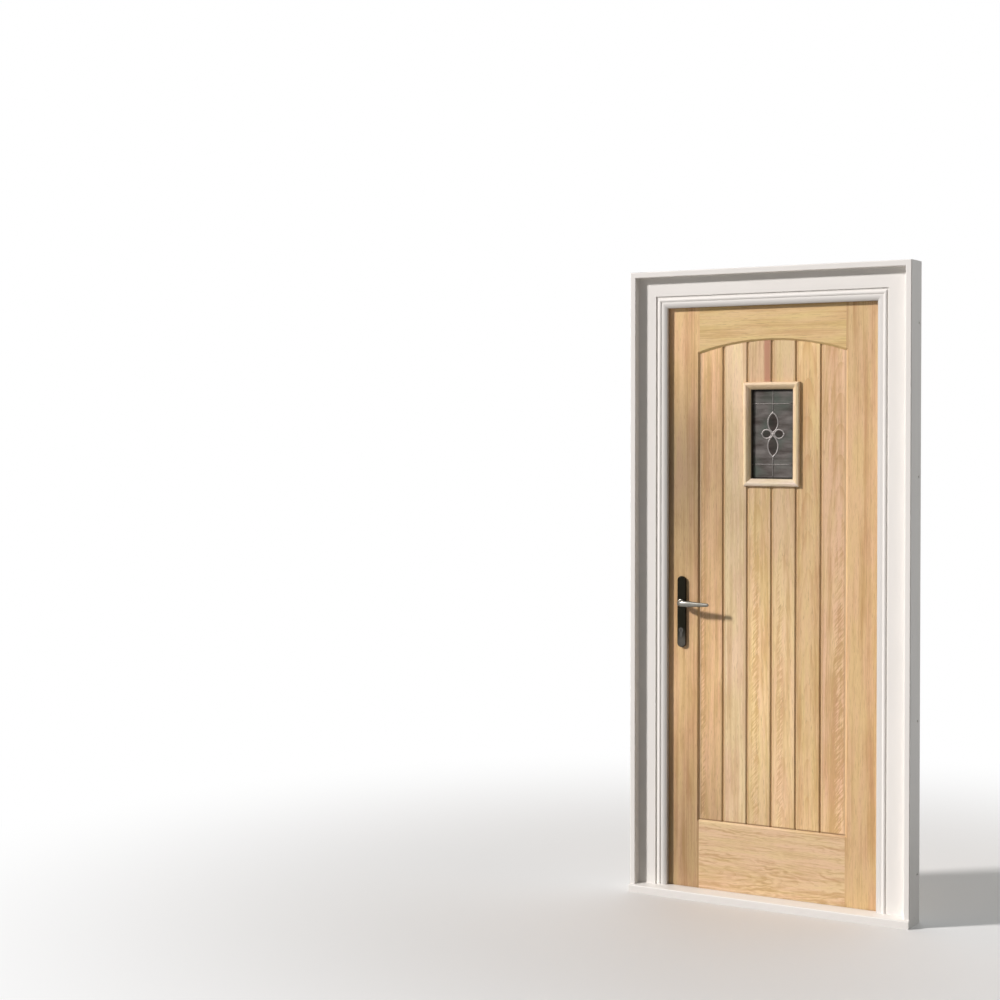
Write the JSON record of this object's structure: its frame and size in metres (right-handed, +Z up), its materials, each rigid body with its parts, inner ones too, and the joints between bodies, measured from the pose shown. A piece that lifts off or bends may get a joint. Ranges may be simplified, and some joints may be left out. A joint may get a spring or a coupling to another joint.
{
  "type": "panelled front door",
  "caption": "Front door in its moulded frame: boarded leaf under an arched rail, small leaded light, lever handles, latch, dead bolt and butt hinges, opening inwards.",
  "frame": {"origin": "centre of the underside of the sill", "axes": "+X to the right seen from outside, +Y into the house, +Z up; the outside faces -Y"},
  "size_m": [0.99, 0.159, 2.116],
  "materials": {
    "oiled_oak": "satin clear finish on oak",
    "white_painted_wood": "satin white paint on timber",
    "cylinder_nickel": "nickel plated",
    "steel": "satin",
    "black_nickel": "dark bright plated",
    "satin_nickel": "satin",
    "pane_glass": "clear",
    "came_metal": "bright metal came",
    "seal_foam": "matt skinned foam",
    "spacer_aluminium": "mill"
  },
  "bodies": {
    "frame": {"cover_mould_head": "white_painted_wood", "cover_mould_left": "white_painted_wood", "cover_mould_right": "white_painted_wood", "head_jamb": "white_painted_wood", "hinge_bottom_frame_flap": "steel", "hinge_bottom_pin": "steel", "hinge_middle_frame_flap": "steel", "hinge_middle_pin": "steel", "hinge_top_frame_flap": "steel", "hinge_top_pin": "steel", "jamb_hinge_side": "white_painted_wood", "jamb_lock_side": "white_painted_wood", "seal_head": "seal_foam", "seal_left": "seal_foam", "seal_right": "seal_foam", "seal_sill": "seal_foam", "sill": "white_painted_wood", "strike_plate": "steel"},
    "leaf": {"board_1": "oiled_oak", "board_2": "oiled_oak", "board_3_lower": "oiled_oak", "board_3_upper": "oiled_oak", "board_4_lower": "oiled_oak", "board_4_upper": "oiled_oak", "board_5": "oiled_oak", "board_6": "oiled_oak", "bottom_rail": "oiled_oak", "cylinder_body": "cylinder_nickel", "cylinder_screw": "steel", "forend": "steel", "hinge_bottom_leaf_flap": "steel", "hinge_middle_leaf_flap": "steel", "hinge_stile": "oiled_oak", "hinge_top_leaf_flap": "steel", "inner_backplate": "black_nickel", "inner_bead_bottom": "oiled_oak", "inner_bead_left": "oiled_oak", "inner_bead_right": "oiled_oak", "inner_bead_top": "oiled_oak", "inner_pane": "pane_glass", "lead_cames": "came_metal", "lock_case": "steel", "lock_stile": "oiled_oak", "outer_backplate": "black_nickel", "outer_bead_bottom": "oiled_oak", "outer_bead_left": "oiled_oak", "outer_bead_right": "oiled_oak", "outer_bead_top": "oiled_oak", "outer_pane": "pane_glass", "spacer": "spacer_aluminium", "top_rail": "oiled_oak"},
    "lever_set": {"outer_lever": "satin_nickel", "inner_lever": "satin_nickel", "spindle": "steel", "follower": "steel"},
    "latch": {"latch_bolt": "steel"},
    "bolt": {"dead_bolt": "steel"},
    "plug": {"cylinder_plug": "cylinder_nickel"}
  },
  "joints": [
    {"name": "door_swing", "type": "hinge", "parent": "frame", "child": "leaf", "pos_m": [0.3825, 0.06, 1.049], "axis": [0, 0, -1], "range_deg": [0, 100]},
    {"name": "lever_turn", "type": "hinge", "parent": "leaf", "child": "lever_set", "pos_m": [-0.322, 0.031, 0.994], "axis": [0, 1, 0], "range_deg": [0, 40], "stiffness_Nm_per_rad": 1.2, "springref_deg": -34.38},
    {"name": "latch_slide", "type": "slide", "parent": "leaf", "child": "latch", "axis": [1, 0, 0], "range_m": [0, 0.012]},
    {"name": "key_turn", "type": "hinge", "parent": "leaf", "child": "plug", "pos_m": [-0.322, 0.031, 0.902], "axis": [0, 1, 0], "range_deg": [0, 360]},
    {"name": "bolt_slide", "type": "slide", "parent": "leaf", "child": "bolt", "axis": [-1, 0, 0], "range_m": [0, 0.02]}
  ],
  "couplings": [
    {"joint": "latch_slide", "follows": "lever_turn", "m_per_rad": 0.01718},
    {"joint": "key_turn", "follows": "bolt_slide", "rad_per_m": 314.15}
  ]
}
